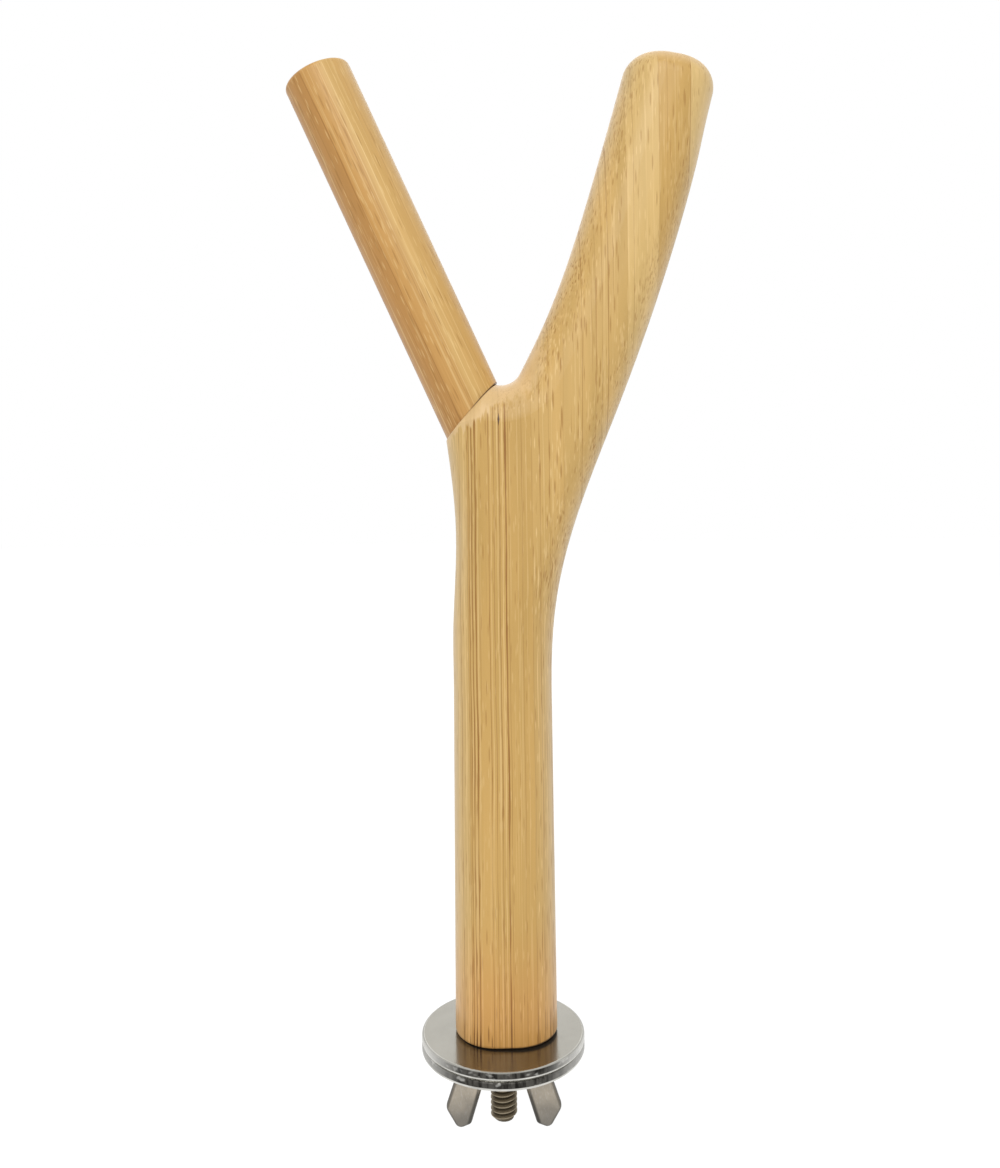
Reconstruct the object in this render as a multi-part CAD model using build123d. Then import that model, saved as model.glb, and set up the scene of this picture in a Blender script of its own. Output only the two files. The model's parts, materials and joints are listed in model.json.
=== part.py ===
"""Forked bird perch: a laminated bamboo fork with one dowel arm, clamped to a cage by a stud and wing nut.

Millimetres, +Z up along the post. The origin is on the stud's axis, on the plane where the two
washers meet, so a cage bar or panel lies at z = 0. The fork lies in the XZ plane, and its own
sizes are drawn from the middle of the post's foot, which stands a little to the right of the stud.
"""
import os
from math import cos, radians, sin

from build123d import *

# Fork, sawn from an edge-laminated board
BOARD_THICK = 20.0
SIDE_FLAT = 0.4
POST_HALF = 12.0
WAIST_HALF = 11.5
WAIST_Z = 82.6
TIP_ROUND = 6.2
BASE_ROUND = 1.0
SEAM_ROUND = 0.4
STRIP_WIDTH = 7.4
STRIP_COUNT = 9
FIRST_SEAM_X = -15.1
RUN_OUT = 14.0
CUT_MARGIN = 1.0
NOTCH_PROUD = 0.02
STUD_OFFSET = 0.8

# Right arm, outer and inner edges
ARM_LEAN = 15.5
ARM_TIP_X = 41.8
ARM_TIP_Z = 228.9
TIP_CUT_LEAN = 11.0
ARM_WIDTH = 21.5
OUTER_BEND = ((13.3, 105.3), (18.9, 125.3), (26.8, 145.3), (38.0, 175.3), (47.0, 205.3))
INNER_BEND = ((9.6, 165.3), (15.8, 180.3), (22.3, 200.3))
CROTCH_RADIUS = 5.0
CROTCH_ASIDE = 0.97
CROTCH_RISE = 4.35
INNER_START_LEAN = 27.5

# Shoulder that carries the dowel
FACET_X = -12.6
FACET_Z = 140.3
FACET_ANGLE = 48.4
NECK_X = -10.6
NECK_Z = 118.1
BELLY_Z = 95.6
SHOULDER_LEAN = 8.0
SHOULDER_RADIUS = 4.0
EASE_RADIUS = 4.0
EASE_STEP = 0.1

# Dowel arm and the peg inside its joint
DOWEL_DIAMETER = 16.2
DOWEL_LEAN = 24.3
DOWEL_LENGTH = 87.0
DOWEL_SETBACK = 0.37
DOWEL_END_ROUND = 1.1
PEG_DIAMETER = 8.0
PEG_LENGTH = 30.0
PEG_END_GAP = 1.0

# Hanger bolt, 1/4 in with a machine thread below the post and a wood thread in it
BOLT_RADIUS = 3.12
BOLT_LENGTH = 63.5
BOLT_BELOW = 18.6
BOLT_END_DOME = 0.8
MACHINE_PITCH = 1.27
MACHINE_DEPTH = 0.72
WOOD_PITCH = 2.54
WOOD_DEPTH = 0.85
WOOD_POINT = 6.0
SHANK_LENGTH = 5.0
PILOT_END_GAP = 1.0

# Washers and wing nut
WASHER_RADIUS = 19.05
WASHER_THICK = 2.1
WASHER_HOLE_GAP = 0.45
WASHER_EDGE = 0.6
NUT_BORE_GAP = 0.08
HUB_HEIGHT = 7.7
HUB_BASE_RADIUS = 6.3
HUB_END_RADIUS = 5.4
HUB_EDGE = 0.5
WING_ROOT_ROUND = 1.0
WING_THICK = 2.4
WING_EDGE = 1.0
WING_ROOT = (3.9, 1.2)
WING_OUTLINE = ((6.1, 1.0), (11.6, 8.0), (13.7, 14.1), (10.8, 19.1), (7.7, 17.9), (5.3, 10.2))
WING_CORNERS = (6.0, 2.2, 1.6, 1.2, 8.0)

POST_FOOT_Z = WASHER_THICK
NUT_SEAT_Z = -WASHER_THICK
STUD_END_Z = -BOLT_BELOW
BOLT_TOP_Z = STUD_END_Z + BOLT_LENGTH


def polar(x, z, angle, distance):
    """The point at a distance from (x, z), along a direction that leans from +Z towards +X."""
    return (x + distance * sin(radians(angle)), z + distance * cos(radians(angle)))


def towards(angle):
    """The unit direction that leans from +Z towards +X, in the fork's plane."""
    return Vector(sin(radians(angle)), 0, cos(radians(angle)))


def in_plane(point):
    return Vector(point[0], 0, point[1])


def end_edges(body, plane):
    """The edges of a body that lie in a plane."""
    def lies_in(edge):
        return all(abs(plane.to_local_coords(edge @ t).Z) < 1e-3 for t in (0, 0.5, 1))
    return [edge for edge in body.edges() if lies_in(edge)]


mitre_half = DOWEL_DIAMETER / 2 / cos(radians(FACET_ANGLE - DOWEL_LEAN))
dowel_foot = polar(FACET_X, FACET_Z, 90 - FACET_ANGLE, mitre_half + DOWEL_SETBACK)
dowel_heel = polar(*dowel_foot, 90 - FACET_ANGLE, mitre_half)
facet_plane = Plane(in_plane(dowel_foot), x_dir=(0, 1, 0), z_dir=towards(-FACET_ANGLE))
tip_plane = Plane(in_plane((ARM_TIP_X, ARM_TIP_Z)), x_dir=(0, 1, 0), z_dir=towards(TIP_CUT_LEAN))
foot_plane = Plane((0, 0, POST_FOOT_Z), x_dir=(0, 1, 0), z_dir=(0, 0, -1))
dowel_plane = Plane(in_plane(dowel_foot), x_dir=(0, 1, 0), z_dir=towards(-DOWEL_LEAN))

# The fork's outline runs past its three ends, which are cut off square after the long edges are rounded
outer_tip = polar(ARM_TIP_X, ARM_TIP_Z, ARM_LEAN + 90, ARM_WIDTH / 2)
inner_tip = polar(ARM_TIP_X, ARM_TIP_Z, ARM_LEAN - 90, ARM_WIDTH / 2)
outer_end = polar(*outer_tip, ARM_LEAN, RUN_OUT)
inner_end = polar(*inner_tip, ARM_LEAN, RUN_OUT)
foot_right = (POST_HALF, POST_FOOT_Z - RUN_OUT)
foot_left = (-POST_HALF, POST_FOOT_Z - RUN_OUT)
waist_right = (WAIST_HALF, WAIST_Z)
waist_left = (-WAIST_HALF, WAIST_Z)
shoulder_turn = radians(FACET_ANGLE - SHOULDER_LEAN)
shoulder_chord = 2 * SHOULDER_RADIUS * sin(shoulder_turn / 2)
shoulder_end = polar(FACET_X, FACET_Z, -(FACET_ANGLE + SHOULDER_LEAN) / 2, shoulder_chord)
facet_left_end = polar(*shoulder_end, -FACET_ANGLE, RUN_OUT)
crotch = (dowel_heel[0] + CROTCH_ASIDE, dowel_heel[1] + CROTCH_RISE)
crotch_left = polar(*crotch, 270 - DOWEL_LEAN, CROTCH_RADIUS)
crotch_low = polar(*crotch, 180, CROTCH_RADIUS)
crotch_right = polar(*crotch, 90 + INNER_START_LEAN, CROTCH_RADIUS)
facet_right_end = polar(*crotch_left, -DOWEL_LEAN, RUN_OUT)
facet_far_end = polar(*facet_left_end, 90 - FACET_ANGLE, 2 * DOWEL_DIAMETER)
up = (0, 1)
arm_way = polar(0, 0, ARM_LEAN, 1)
inner_way = polar(0, 0, INNER_START_LEAN, 1)
shoulder_way = polar(0, 0, -SHOULDER_LEAN, 1)

# The fork is a blank with rounded outer edges, less a notch whose edges are rounded in the same way.
# Both run past the fork's three ends, which are cut off square afterwards.
blank_top = inner_end[1]
far_left = facet_left_end[0] - RUN_OUT
far_right = outer_end[0] + RUN_OUT
far_low = POST_FOOT_Z - 2 * RUN_OUT
blank_foot = [foot_left, foot_right]
blank_end = [outer_end, inner_end, (facet_far_end[0], blank_top), facet_far_end, facet_left_end]
notch_end = [
    facet_right_end,
    (far_left, facet_right_end[1]),
    (far_left, far_low),
    (far_right, far_low),
    (far_right, blank_top),
    inner_end,
]
with BuildSketch(Plane.XZ) as blank_outline:
    with BuildLine():
        Polyline(waist_left, *blank_foot, waist_right)
        Spline(waist_right, *OUTER_BEND, outer_tip, tangents=(up, arm_way))
        Polyline(outer_tip, *blank_end, shoulder_end)
        TangentArc((FACET_X, FACET_Z), shoulder_end, tangent=shoulder_way)
        Spline(
            waist_left,
            (-WAIST_HALF, BELLY_Z),
            (NECK_X, NECK_Z),
            (FACET_X, FACET_Z),
            tangents=(up, shoulder_way),
        )
    make_face()
with BuildSketch(Plane.XZ) as notch_outline:
    with BuildLine():
        Spline(crotch_right, *INNER_BEND, inner_tip, tangents=(inner_way, arm_way))
        ThreePointArc(crotch_left, crotch_low, crotch_right)
        Polyline(crotch_left, *notch_end, inner_tip)
    make_face()
edge_round = min(BOARD_THICK / 2, ARM_WIDTH / 2, WAIST_HALF, POST_HALF) - SIDE_FLAT / 2


def rounded_board(outline, half_thick, *square_ends):
    """A board with its front and back edges rounded, except along its square ends."""
    middles = [((a[0] + b[0]) / 2, (a[1] + b[1]) / 2) for end in square_ends for a, b in zip(end, end[1:])]

    def is_rounded(edge):
        middle = edge @ 0.5
        if abs(abs(middle.Y) - half_thick) > 1e-3:
            return False
        return all(abs(middle.X - x) + abs(middle.Z - z) > 0.1 for x, z in middles)

    board = extrude(outline.sketch, amount=half_thick, both=True)
    return fillet([edge for edge in board.edges() if is_rounded(edge)], edge_round)


fork = rounded_board(blank_outline, BOARD_THICK / 2, blank_foot, blank_end)
fork &= rounded_board(notch_outline, BOARD_THICK / 2 + NOTCH_PROUD, notch_end)
off_cut = 3 * RUN_OUT
upward = (Align.CENTER, Align.CENTER, Align.MIN)
cut_depth = BOARD_THICK + 2 * CUT_MARGIN
facet_reach = abs(facet_plane.to_local_coords(in_plane(facet_right_end)).Y) + CUT_MARGIN
fork -= facet_plane * Box(cut_depth, 2 * facet_reach, off_cut, align=upward)
fork -= tip_plane * Box(cut_depth, 2 * ARM_WIDTH, off_cut, align=upward)
fork -= foot_plane * Box(cut_depth, 3 * POST_HALF, off_cut, align=upward)

# Front and back of the shoulder, eased down to the dowel
ease_drop = (BOARD_THICK - DOWEL_DIAMETER) / 2 - EASE_STEP
ease_depth = (EASE_RADIUS**2 - (EASE_RADIUS - ease_drop) ** 2) ** 0.5
ease_length = 2 * (mitre_half + DOWEL_SETBACK + CUT_MARGIN)
ease_middle = Pos(BOARD_THICK / 2 - EASE_RADIUS, 0, -ease_depth)
outward = (Align.MIN, Align.CENTER, Align.MIN)
ease_box = Box(EASE_RADIUS + CUT_MARGIN, ease_length, ease_depth + CUT_MARGIN, align=outward)
ease = facet_plane * ease_middle * (ease_box - Rot(90, 0, 0) * Cylinder(EASE_RADIUS, 2 * ease_length))
fork -= ease
fork -= mirror(ease, about=Plane.XZ)

fork = fillet(end_edges(fork, tip_plane), TIP_ROUND)
fork = fillet(end_edges(fork, foot_plane), BASE_ROUND)
fork = fillet(end_edges(fork, facet_plane), SEAM_ROUND)

# Dowel arm, mitred to the shoulder
dowel_blank = Cylinder(DOWEL_DIAMETER / 2, DOWEL_LENGTH + DOWEL_DIAMETER, align=upward)
dowel_blank = fillet(dowel_blank.edges().group_by(Axis.Z)[-1], DOWEL_END_ROUND)
dowel = dowel_plane * Pos(0, 0, -DOWEL_DIAMETER) * dowel_blank
downward = (Align.CENTER, Align.CENTER, Align.MAX)
dowel -= facet_plane * Box(2 * DOWEL_DIAMETER, 4 * DOWEL_DIAMETER, 2 * DOWEL_DIAMETER, align=downward)

# Peg through the joint, glued half in the fork and half in the dowel
peg = dowel_plane * Cylinder(PEG_DIAMETER / 2, PEG_LENGTH)
peg_hole = dowel_plane * Cylinder(PEG_DIAMETER / 2, PEG_LENGTH + 2 * PEG_END_GAP)
dowel -= peg_hole

# Hanger bolt as one turned outline, with ring grooves for its threads
profile = [(0, STUD_END_Z), (BOLT_RADIUS - BOLT_END_DOME, STUD_END_Z)]
thread_start = STUD_END_Z + BOLT_END_DOME
groove_count = int((POST_FOOT_Z - thread_start) / MACHINE_PITCH)
for i in range(groove_count):
    low = thread_start + i * MACHINE_PITCH
    profile += [
        (BOLT_RADIUS, low),
        (BOLT_RADIUS, low + MACHINE_PITCH * 0.16),
        (BOLT_RADIUS - MACHINE_DEPTH, low + MACHINE_PITCH * 0.52),
        (BOLT_RADIUS - MACHINE_DEPTH, low + MACHINE_PITCH * 0.64),
    ]
shank_low = thread_start + groove_count * MACHINE_PITCH
shank_top = POST_FOOT_Z + SHANK_LENGTH
point_low = BOLT_TOP_Z - WOOD_POINT
profile += [(BOLT_RADIUS, shank_low), (BOLT_RADIUS, shank_top)]
ring_count = int((point_low - shank_top) / WOOD_PITCH)
for i in range(ring_count):
    low = shank_top + i * WOOD_PITCH
    profile += [
        (BOLT_RADIUS - WOOD_DEPTH, low + WOOD_PITCH * 0.3),
        (BOLT_RADIUS - WOOD_DEPTH, low + WOOD_PITCH * 0.7),
        (BOLT_RADIUS, low + WOOD_PITCH * 0.94),
        (BOLT_RADIUS, low + WOOD_PITCH),
    ]
profile += [(BOLT_RADIUS - WOOD_DEPTH, point_low + WOOD_PITCH * 0.3), (0, BOLT_TOP_Z)]
with BuildSketch(Plane.XZ) as bolt_outline:
    with BuildLine():
        Polyline(*profile, close=True)
    make_face()
bolt = revolve(bolt_outline.sketch, Axis.Z)
pilot_height = BOLT_TOP_Z + PILOT_END_GAP - POST_FOOT_Z
pilot = Pos(0, 0, POST_FOOT_Z) * Cylinder(BOLT_RADIUS, pilot_height, align=upward)
beside_stud = Pos(STUD_OFFSET, 0, 0)
fork = beside_stud * (fork - peg_hole) - pilot

# Washers
washer = Cylinder(WASHER_RADIUS, WASHER_THICK, align=upward)
washer = fillet(washer.edges(), WASHER_EDGE)
washer -= Cylinder(BOLT_RADIUS + WASHER_HOLE_GAP, 3 * WASHER_THICK)

# Wing nut, drawn with its seat at z = 0 and its wings upward, then turned over
with BuildSketch(Plane.XZ) as wing_outline:
    with BuildLine():
        FilletPolyline(WING_ROOT, *WING_OUTLINE, WING_ROOT, radius=(0, 0, *WING_CORNERS))
    make_face()
wing = extrude(wing_outline.sketch, amount=WING_THICK / 2, both=True)
wing = fillet([e for e in wing.edges() if abs(abs((e @ 0.5).Y) - WING_THICK / 2) < 1e-3], WING_EDGE)
hub = Cone(HUB_BASE_RADIUS, HUB_END_RADIUS, HUB_HEIGHT, align=upward)
hub = fillet(hub.edges().group_by(Axis.Z)[-1], HUB_EDGE)
nut = hub + wing + Rot(0, 0, 180) * wing
hub_taper = (HUB_BASE_RADIUS - HUB_END_RADIUS) / HUB_HEIGHT


def is_wing_root(edge):
    """Whether an edge is where a wing meets the hub's cone."""
    def is_on_cone(point):
        return abs((point.X**2 + point.Y**2) ** 0.5 - HUB_BASE_RADIUS + hub_taper * point.Z) < 1e-3
    middle = edge @ 0.5
    if abs(middle.Y) > WING_THICK or middle.Z < HUB_EDGE:
        return False
    return edge.geom_type != GeomType.LINE and all(is_on_cone(edge @ t) for t in (0.2, 0.5, 0.8))


nut = fillet([edge for edge in nut.edges() if is_wing_root(edge)], WING_ROOT_ROUND)
nut -= Cylinder(BOLT_RADIUS + NUT_BORE_GAP, 3 * HUB_HEIGHT)
nut = Pos(0, 0, NUT_SEAT_Z) * Rot(180, 0, 0) * nut

pieces = {
    "dowel_arm": beside_stud * dowel,
    "arm_peg": beside_stud * peg,
    "hanger_bolt": bolt,
    "inner_washer": washer,
    "outer_washer": Pos(0, 0, -WASHER_THICK) * washer,
    "wing_nut": nut,
}
slab_height = ARM_TIP_Z + 2 * BOARD_THICK
for i in range(STRIP_COUNT):
    slab = Pos(STUD_OFFSET + FIRST_SEAM_X + (i + 0.5) * STRIP_WIDTH, 0, 0) * Box(
        STRIP_WIDTH, 2 * BOARD_THICK, 2 * slab_height
    )
    pieces[f"bamboo_strip_{i + 1}"] = fork & slab

os.makedirs("parts", exist_ok=True)
for name, piece in pieces.items():
    export_step(piece, f"parts/{name}.step")
    box = piece.bounding_box()
    print(name, len(piece.solids()), round(piece.volume, 1), box.min, box.max)
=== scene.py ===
"""Looks for a forked bamboo bird perch with a stud, two washers and a wing nut at its foot.

Laid out as an add-on and run as a script. Sizes are in metres in the packed part's frame: +Z up
along the post, and the origin on the stud's axis, where the two washers meet.
"""
import json
import math

import bmesh
import bpy
from bpy.props import FloatProperty, FloatVectorProperty, IntProperty, PointerProperty
from mathutils import Euler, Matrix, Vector


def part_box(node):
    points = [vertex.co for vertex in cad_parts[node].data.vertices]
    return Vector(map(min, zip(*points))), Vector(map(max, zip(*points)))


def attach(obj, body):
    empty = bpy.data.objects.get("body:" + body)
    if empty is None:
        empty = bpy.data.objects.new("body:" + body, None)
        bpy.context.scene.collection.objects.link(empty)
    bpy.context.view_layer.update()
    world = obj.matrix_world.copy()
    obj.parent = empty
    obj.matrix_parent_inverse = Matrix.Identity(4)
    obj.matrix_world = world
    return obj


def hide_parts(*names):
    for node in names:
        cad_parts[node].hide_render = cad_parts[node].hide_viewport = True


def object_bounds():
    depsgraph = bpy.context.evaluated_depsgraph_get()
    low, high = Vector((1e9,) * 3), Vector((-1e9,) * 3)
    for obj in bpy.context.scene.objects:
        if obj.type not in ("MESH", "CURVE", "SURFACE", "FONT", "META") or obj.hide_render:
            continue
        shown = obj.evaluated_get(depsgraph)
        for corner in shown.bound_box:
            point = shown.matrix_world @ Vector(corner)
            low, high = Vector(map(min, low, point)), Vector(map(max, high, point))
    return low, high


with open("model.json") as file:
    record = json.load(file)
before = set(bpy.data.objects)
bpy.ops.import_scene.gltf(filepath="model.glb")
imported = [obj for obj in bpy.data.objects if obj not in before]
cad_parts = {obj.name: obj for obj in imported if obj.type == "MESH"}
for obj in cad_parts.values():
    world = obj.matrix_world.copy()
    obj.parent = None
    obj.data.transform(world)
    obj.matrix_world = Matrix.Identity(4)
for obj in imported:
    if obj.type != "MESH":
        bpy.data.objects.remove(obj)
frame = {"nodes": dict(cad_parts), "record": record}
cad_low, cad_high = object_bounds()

bl_info = {
    "name": "Bird perch",
    "version": (1, 0, 0),
    "blender": (4, 5, 0),
    "location": "View3D > Sidebar > Perch",
    "description": "Dresses a forked bamboo bird perch and the hardware that clamps it",
    "category": "Object",
}

MM = 0.001
seam_low, seam_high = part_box("bamboo_strip_3")
STRIP_WIDTH = seam_high.x - seam_low.x
FIRST_SEAM_X = seam_low.x - 2 * STRIP_WIDTH
GLUE_HALF = 0.2 * MM
bolt_low, bolt_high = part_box("hanger_bolt")
_, washer_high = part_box("inner_washer")
joints = frame["record"]["behaviour"]["joints"]
NUT_TRAVEL = max(joint["range_m"][1] for joint in joints if joint["type"] == "slide")

# The dowel's lean and foot, how far along it its sawn end and the round below that are, and its mitre
DOWEL_LEAN = math.radians(24.3)
DOWEL_FOOT = Vector((-5.664, 0.0, 147.212)) * MM
DOWEL_END = 86.8 * MM
DOWEL_END_ROUND = 1.3 * MM
MITRE_ANGLE = math.radians(48.4)
MITRE_NORMAL = Vector((-math.sin(MITRE_ANGLE), 0.0, math.cos(MITRE_ANGLE)))
MITRE_WAY = Vector((MITRE_NORMAL.z, 0.0, -MITRE_NORMAL.x))

# The split in the middle seam, by its height and half its length, and the strips that it and the mitre meet
SPLIT_Z = 144.6 * MM
SPLIT_HALF = 1.5 * MM
SPLIT_STRIPS = (2, 3)
MITRE_STRIPS = (1, 2, 3)

# The middle of the crotch's arc, and the sawn tip of the right arm
CROTCH = Vector((1.2, 0.0, 158.2)) * MM
ARM_TIP = Vector((42.6, 0.0, 228.9)) * MM
ARM_TIP_LEAN = math.radians(11)
ARM_TIP_NORMAL = Vector((math.sin(ARM_TIP_LEAN), 0.0, math.cos(ARM_TIP_LEAN)))

# The right wing's outline under the washers as (x, z) in mm: down its inner edge, then round to its outer
# one. It darkens from one height down to its tip.
WING_INNER = ((3.9, -3.3), (5.3, -12.3), (7.7, -20.0))
WING_OUTER = ((7.7, -20.0), (10.8, -21.2), (13.7, -16.2), (11.6, -10.1), (6.1, -3.1))
WING_DARK_Z = -11 * MM
WING_TIP_Z = -21.2 * MM

# The wound stud: how far its crests lie inside the plain one's, its chamfer, run-outs, shank and point
STUD_INSET = 0.02 * MM
STUD_CHAMFER = 0.8 * MM
MACHINE_RUN_OUT = 0.2 * MM
WOOD_RUN_OUT = 0.5 * MM
SHANK_LENGTH = 5 * MM
POINT_LENGTH = 6 * MM
POINT_RADIUS = 0.3 * MM
CREASE_ANGLE = math.radians(34)

# Shades that lie over the bamboo's and the steel's own colours: painted shade at the foot, wear on the
# faces and the nut, a painted dark reflection on the washers' rims, painted shade along the wings' edges,
# and darker wing tips
FOOT_SHADE = (1.06, 0.76, 0.62)
FACE_DULL = (0.16, 0.15, 0.13)
RIM_DARK_REFLECTION = (0.014, 0.013, 0.011)
RIM_DIM_REFLECTION = (0.08, 0.076, 0.068)
NUT_DULL = (0.2, 0.18, 0.15)
NUT_SCRATCH = (0.55, 0.53, 0.49)
NUT_EDGE_SHADE = (0.05, 0.047, 0.042)
NUT_TIP = (0.14, 0.136, 0.126)

# Lamps as (place, size across) in metres, and how the floor is lit and seen
KEY_LAMP = ((-0.12, -1.15, 1.0), 1.1)
BACK_LAMP = ((0.0, 1.3, 0.85), 1.2)
FLOOR_GREY = (0.8, 0.8, 0.8)
FLOOR_SHADE = (0.3, 0.3, 0.3)
FLOOR_GLOW = 0.8
FLOOR_GAP = 0.05 * MM
WHITE = (1.0, 1.0, 1.0)
SENSOR_MM = 36.0


def tone(red, green, blue):
    """A screen colour, 0 to 255, as the linear colour that a shader takes."""
    return tuple(
        c / 12.92 if c <= 0.04045 else ((c + 0.055) / 1.055) ** 2.4
        for c in (red / 255, green / 255, blue / 255)
    )


def blend_tone(a, b, share):
    """A colour that lies a share of the way from one to another."""
    return tuple(x + (y - x) * share for x, y in zip(a, b))


def rgba(colour):
    """A colour with a full alpha, as a colour socket takes it."""
    return (*colour[:3], 1.0)


# Each strip of the fork, from left to right: how light it is, how dense its dark fibres are at its left
# and right sides, how many pale fibres it has, how strong the flecks on its rounded sides are, how dark
# its right glue line is, and its longest dark and pale streaks as (x in mm, half width in mm, strength)
STRIPS = (
    {
        "light": 0.55, "dense": (0.25, 0.3), "pale": 0.5, "flecks": 0.25, "glue": 0.3,
        "dark": ((-8.7, 0.14, 0.6),),
        "bright": ((-9.4, 0.14, 0.5), (-7.7, 0.2, 0.7)),
    },
    {
        "light": 0.0, "dense": (0.55, 0.3), "pale": 0.35, "flecks": 0.2, "glue": 0.6,
        "dark": (
            (-6.5, 0.16, 0.85), (-5.85, 0.2, 0.95), (-5.05, 0.26, 1.0),
            (-1.95, 0.15, 0.7), (-0.8, 0.14, 0.65),
        ),
        "bright": (
            (-6.15, 0.12, 0.6), (-5.45, 0.12, 0.55), (-4.55, 0.16, 0.6),
            (-1.45, 0.14, 0.6), (0.05, 0.16, 0.7),
        ),
    },
    {
        "light": 0.0, "dense": (0.3, 0.12), "pale": 0.35, "flecks": 0.25, "glue": 0.2,
        "dark": ((1.9, 0.34, 1.0), (2.55, 0.12, 0.6), (5.6, 0.14, 0.4)),
        "bright": ((1.2, 0.2, 0.7), (4.6, 0.12, 0.45), (6.6, 0.12, 0.4)),
    },
    {
        "light": 0.25, "dense": (0.3, 0.85), "pale": 0.8, "flecks": 0.9, "glue": 0.15,
        "dark": ((9.7, 0.18, 0.5), (11.9, 0.14, 0.4)),
        "bright": ((10.6, 0.16, 0.5), (12.6, 0.14, 0.45)),
    },
    {
        "light": 0.35, "dense": (0.35, 0.6), "pale": 0.5, "flecks": 1.0, "glue": 0.2,
        "dark": ((19.6, 0.2, 0.55),),
        "bright": ((18.9, 0.16, 0.4),),
    },
    {
        "light": 0.4, "dense": (0.6, 0.4), "pale": 0.6, "flecks": 0.75, "glue": 0.12,
        "dark": ((24.2, 0.16, 0.5), (25.6, 0.22, 0.6)),
        "bright": ((24.8, 0.18, 0.5), (26.6, 0.14, 0.4)),
    },
    {
        "light": 0.95, "dense": (0.4, 0.4), "pale": 0.6, "flecks": 0.7, "glue": 0.25,
        "dark": ((31.6, 0.16, 0.4),),
        "bright": ((32.4, 0.14, 0.3),),
    },
    {
        "light": 0.05, "dense": (0.3, 0.6), "pale": 0.4, "flecks": 0.6, "glue": 0.4,
        "dark": ((39.4, 0.16, 0.35),),
        "bright": ((41.2, 0.14, 0.4),),
    },
    {
        "light": 1.3, "dense": (0.25, 0.2), "pale": 0.5, "flecks": 0.45, "glue": 0.0,
        "dark": (),
        "bright": (),
    },
)

# Colours across the dowel as (x in mm, colour), from its lower left side to its upper right one, the start
# of its pattern, and its longest dark and pale streaks
DOWEL_BANDS = (
    (-8.1, tone(189, 138, 72)),
    (-3.5, tone(186, 135, 69)),
    (-2.7, tone(197, 147, 78)),
    (0.8, tone(199, 153, 83)),
    (2.0, tone(214, 173, 104)),
    (5.0, tone(205, 163, 94)),
    (8.1, tone(212, 172, 107)),
)
DOWEL_SEED = 23.0
DOWEL_DARK = ((-3.3, 0.22, 0.7), (-5.2, 0.16, 0.35), (0.3, 0.16, 0.4))
DOWEL_BRIGHT = ((-6.9, 0.14, 0.5), (1.0, 0.15, 0.6), (2.3, 0.2, 0.8), (3.5, 0.14, 0.6))


class PerchBamboo(bpy.types.PropertyGroup):
    """Colours and finish of the bamboo"""

    honey: FloatVectorProperty(
        name="Honey", description="Darker strips, between their fibres",
        subtype="COLOR", size=3, min=0, max=1, default=tone(199, 159, 88),
    )
    straw: FloatVectorProperty(
        name="Straw", description="Lighter strips, between their fibres",
        subtype="COLOR", size=3, min=0, max=1, default=tone(215, 180, 114),
    )
    fibre: FloatVectorProperty(
        name="Fibre", description="Dark fibres that run along the bamboo",
        subtype="COLOR", size=3, min=0, max=1, default=tone(158, 111, 44),
    )
    sheath: FloatVectorProperty(
        name="Sheath", description="Pale fibres that run along the bamboo",
        subtype="COLOR", size=3, min=0, max=1, default=tone(230, 196, 134),
    )
    # Painted sheen: the rounded sides are painted paler in place of their grazing reflection of the bright
    # room
    painted_sheen: FloatVectorProperty(
        name="Sanded", description="Rounded sides of the fork, sanded paler",
        subtype="COLOR", size=3, min=0, max=1, default=tone(216, 188, 138),
    )
    sawn: FloatVectorProperty(
        name="Sawn", description="Wood of the fork that is sawn across its fibres",
        subtype="COLOR", size=3, min=0, max=1, default=tone(226, 192, 140),
    )
    glue: FloatVectorProperty(
        name="Glue", description="Glue lines between the strips",
        subtype="COLOR", size=3, min=0, max=1, default=tone(138, 90, 32),
    )
    # Painted shade: the dark inside the open joint and the split, also used to darken the fibres near the
    # foot
    gap: FloatVectorProperty(
        name="Gap", description="Depth of the open joint and of the split in the middle seam",
        subtype="COLOR", size=3, min=0, max=1, default=tone(84, 52, 22),
    )
    # Painted shadow: the colour of the contact shadow along the foot's lower rim
    rim: FloatVectorProperty(
        name="Rim", description="Dark lower rim of the post's foot",
        subtype="COLOR", size=3, min=0, max=1, default=tone(44, 26, 14),
    )
    roughness: FloatProperty(
        name="Roughness", description="Roughness of the sanded and oiled surface",
        subtype="FACTOR", min=0, max=1, default=0.42,
    )
    grain_depth: FloatProperty(
        name="Grain depth", description="Depth of the open grain",
        subtype="DISTANCE", unit="LENGTH", min=0, default=0.05 * MM,
    )


class PerchSteel(bpy.types.PropertyGroup):
    """Colours and finish of the hardware"""

    washer: FloatVectorProperty(
        name="Washers", description="Polished steel of the two washers",
        subtype="COLOR", size=3, min=0, max=1, default=(0.275, 0.265, 0.232),
    )
    # Painted highlight: this brighter colour on the bevels and patches stands in for bright reflections on
    # the washers' edges
    bevel: FloatVectorProperty(
        name="Washer edges", description="Bright bevels and burnished patches on the washers' edges",
        subtype="COLOR", size=3, min=0, max=1, default=(0.72, 0.71, 0.67),
    )
    nut: FloatVectorProperty(
        name="Wing nut", description="Tumbled steel of the wing nut",
        subtype="COLOR", size=3, min=0, max=1, default=(0.455, 0.402, 0.326),
    )
    stud: FloatVectorProperty(
        name="Stud", description="Crests of the stud's thread",
        subtype="COLOR", size=3, min=0, max=1, default=(0.33, 0.28, 0.20),
    )
    stud_root: FloatVectorProperty(
        name="Stud grooves", description="Oil and shade in the grooves of the stud's thread",
        subtype="COLOR", size=3, min=0, max=1, default=(0.10, 0.08, 0.052),
    )
    washer_roughness: FloatProperty(
        name="Washer roughness", description="Roughness of the washers' faces",
        subtype="FACTOR", min=0, max=1, default=0.15,
    )


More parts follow.
